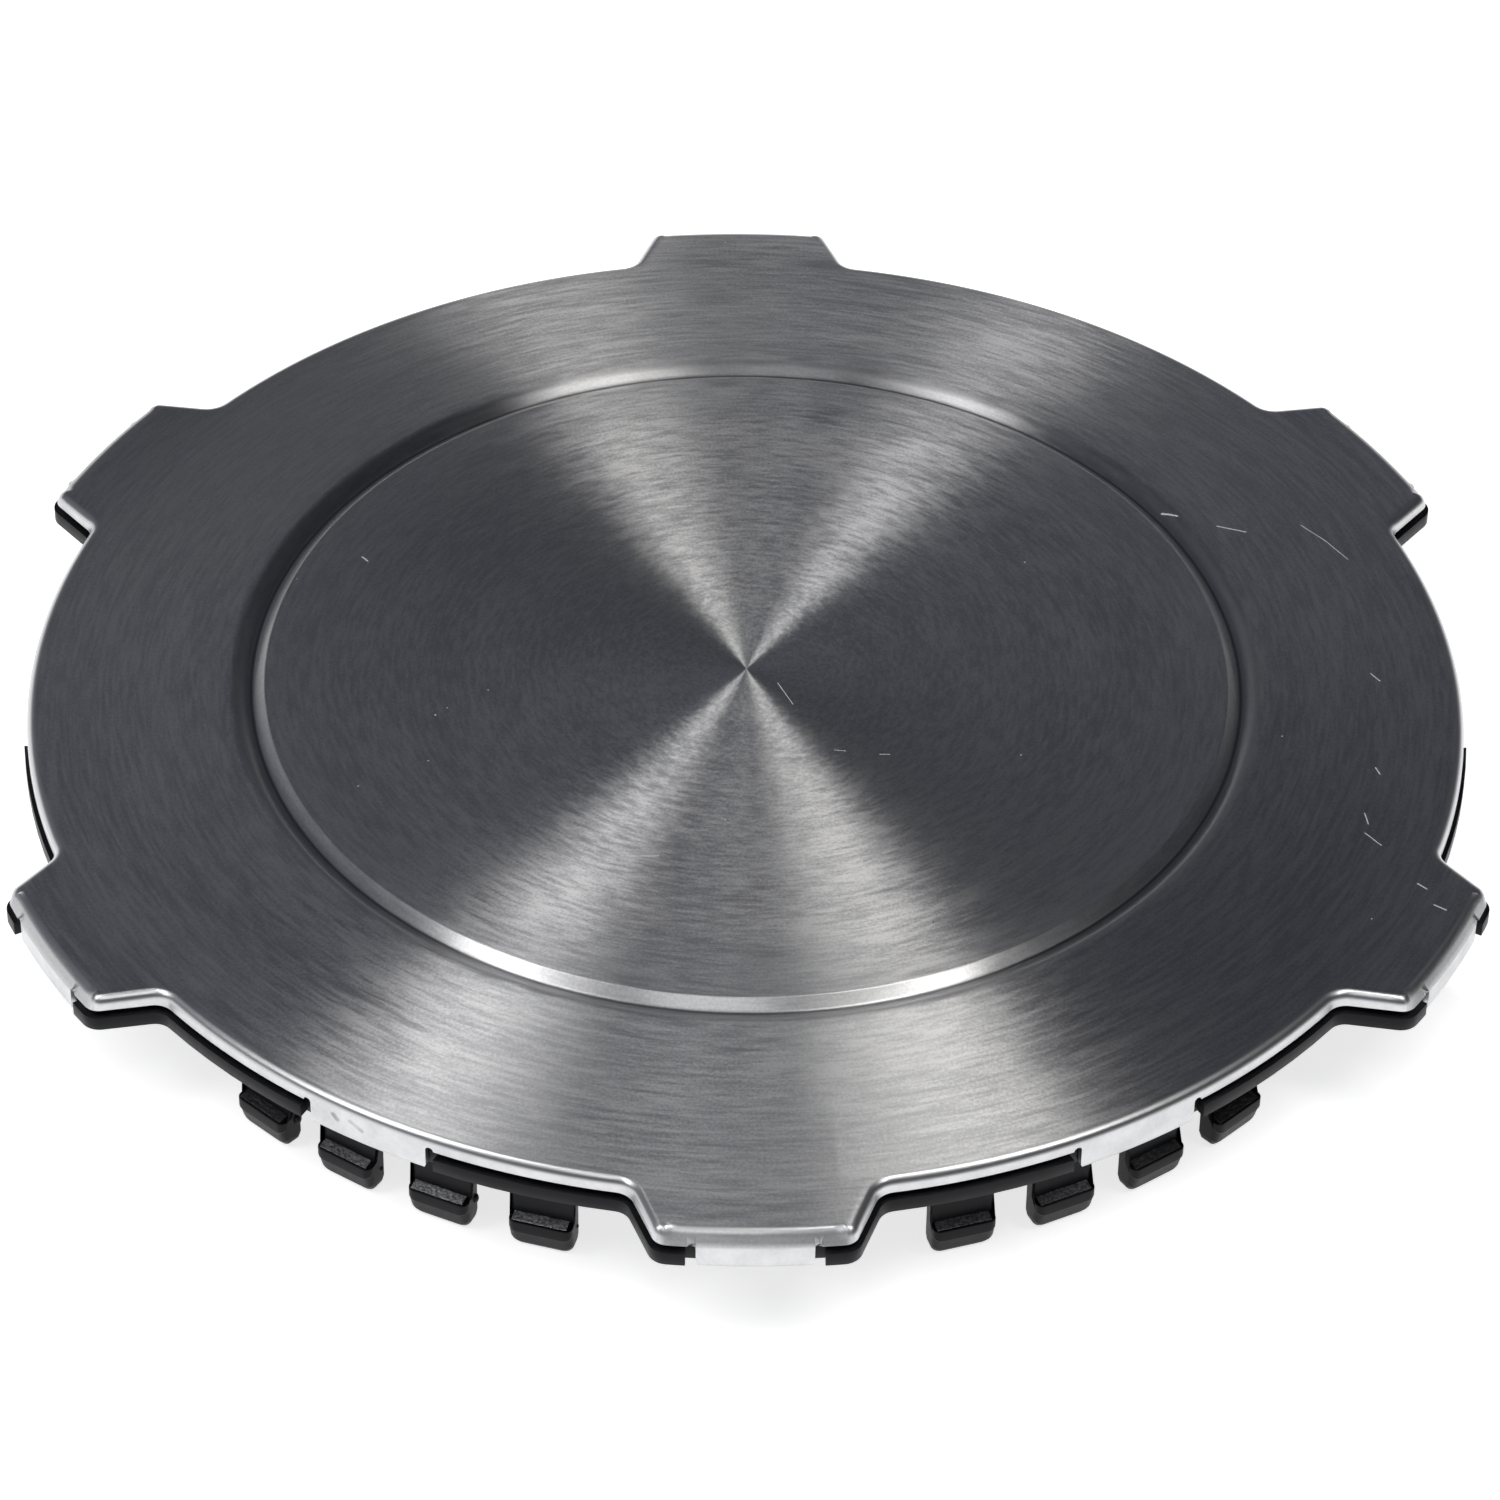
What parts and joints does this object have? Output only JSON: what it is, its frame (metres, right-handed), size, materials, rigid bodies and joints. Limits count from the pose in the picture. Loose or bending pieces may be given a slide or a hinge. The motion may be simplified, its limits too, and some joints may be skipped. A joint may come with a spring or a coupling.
{
  "type": "wheel centre cap",
  "caption": "Round push-in wheel centre cap with square lobes round its rim, a spin-brushed sheet-metal face and a black snap-leg carrier.",
  "frame": {"origin": "on the cap's axis, in the plane of the leg tips that it stands on", "axes": "+Z along the wheel axis, out through the visible face; one lobe points along +Y and one along -Y"},
  "size_m": [0.198, 0.215, 0.023],
  "materials": {
    "brushed_face": "spin-brushed in fine concentric lines, clear coated, with a few light scratches",
    "black_plastic": "black moulded plastic, fine satin grain, coarser texture on the barb shoulders"
  },
  "bodies": {
    "root": {"face_skin": "brushed_face", "clip_carrier": "black_plastic"}
  },
  "joints": []
}
